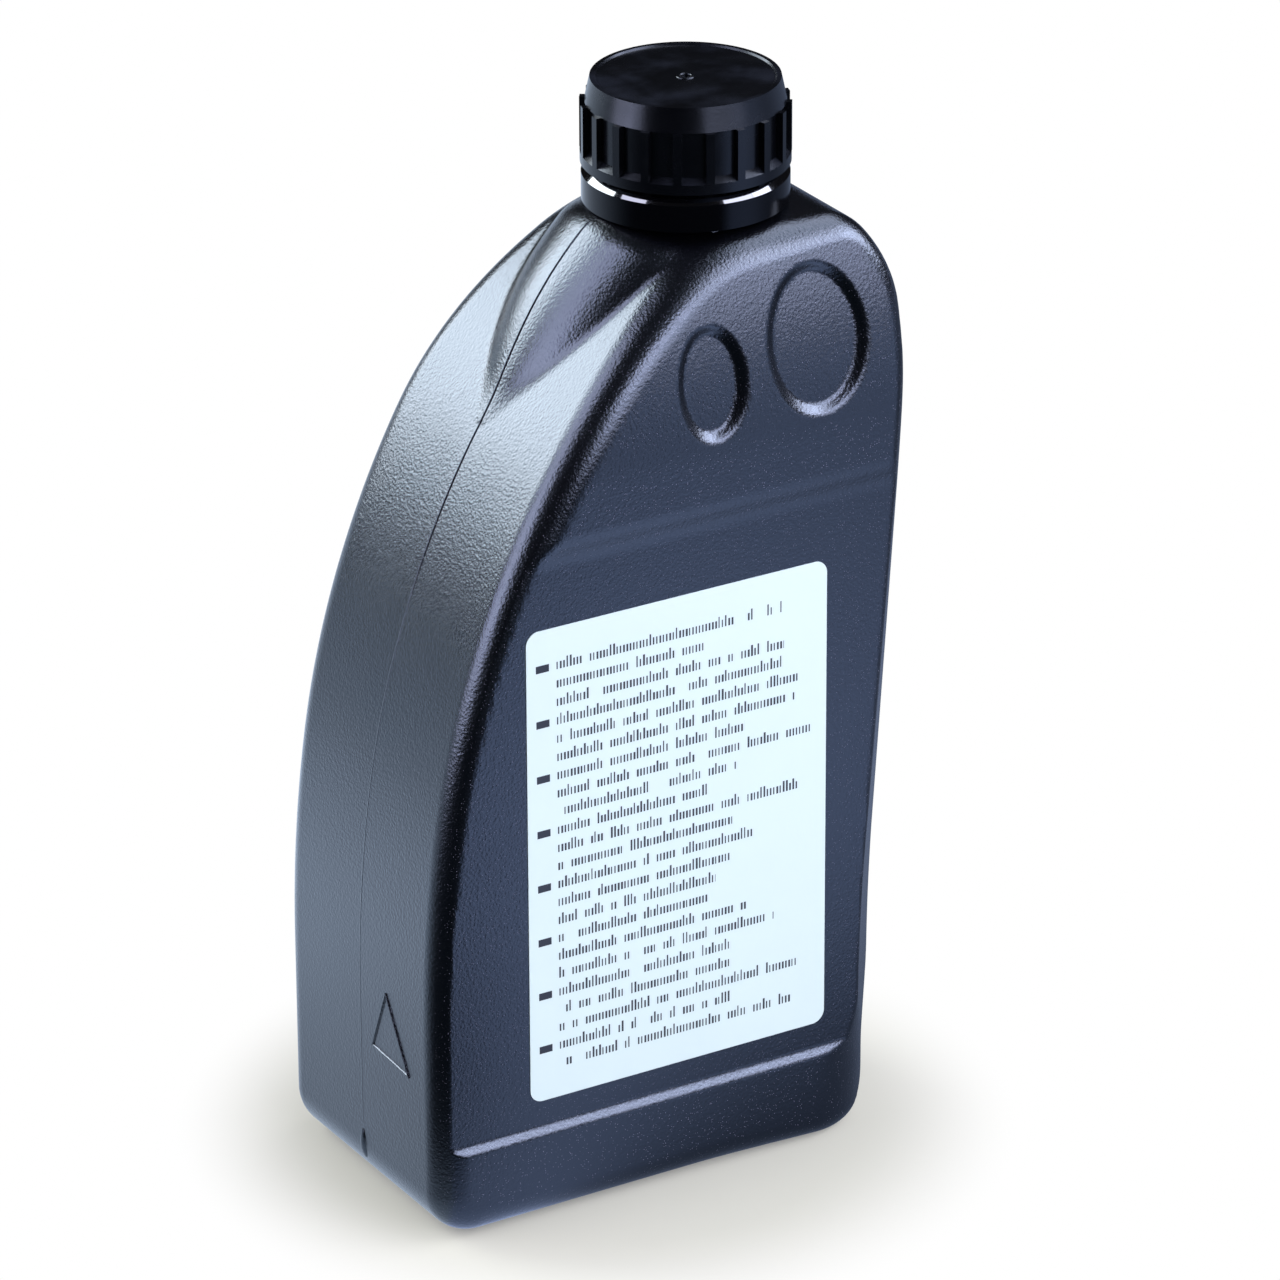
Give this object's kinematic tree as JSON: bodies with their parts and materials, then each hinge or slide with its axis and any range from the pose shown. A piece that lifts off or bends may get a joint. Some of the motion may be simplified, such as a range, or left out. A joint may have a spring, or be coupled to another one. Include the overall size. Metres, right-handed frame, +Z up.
{
  "type": "bar and chain oil bottle",
  "caption": "Flat black oil bottle with a curved back, an off-centre threaded neck, a ribbed screw cap over a tamper ring, finger dimples and a pale back label.",
  "frame": {"origin": "middle of the base, on the surface the bottle stands on", "axes": "+Z up along the neck, -Y out of the labelled face, +X towards the straight narrow side under the neck"},
  "size_m": [0.11, 0.0644, 0.2253],
  "materials": {
    "bottle_plastic": "satin black, finely grained",
    "cap_plastic": "satin black",
    "ring_plastic": "glossy black",
    "disc_foam": "matt white foam",
    "label_film": "matt pale film with grey print"
  },
  "bodies": {
    "bottle": {"bottle": "bottle_plastic", "tamper_ring": "ring_plastic", "back_label": "label_film"},
    "disc": {"sealing_disc": "disc_foam"},
    "cap": {"screw_cap": "cap_plastic"}
  },
  "joints": [
    {"name": "cap_lift", "type": "slide", "parent": "bottle", "child": "disc", "axis": [0, 0, 1], "range_m": [0, 0.006]},
    {"name": "cap_turn", "type": "hinge", "parent": "disc", "child": "cap", "pos_m": [0.022, 0, 0.2233], "axis": [0, 0, 1], "range_deg": [0, 540]}
  ],
  "couplings": [
    {"joint": "cap_lift", "follows": "cap_turn", "m_per_rad": 0.00063662}
  ]
}
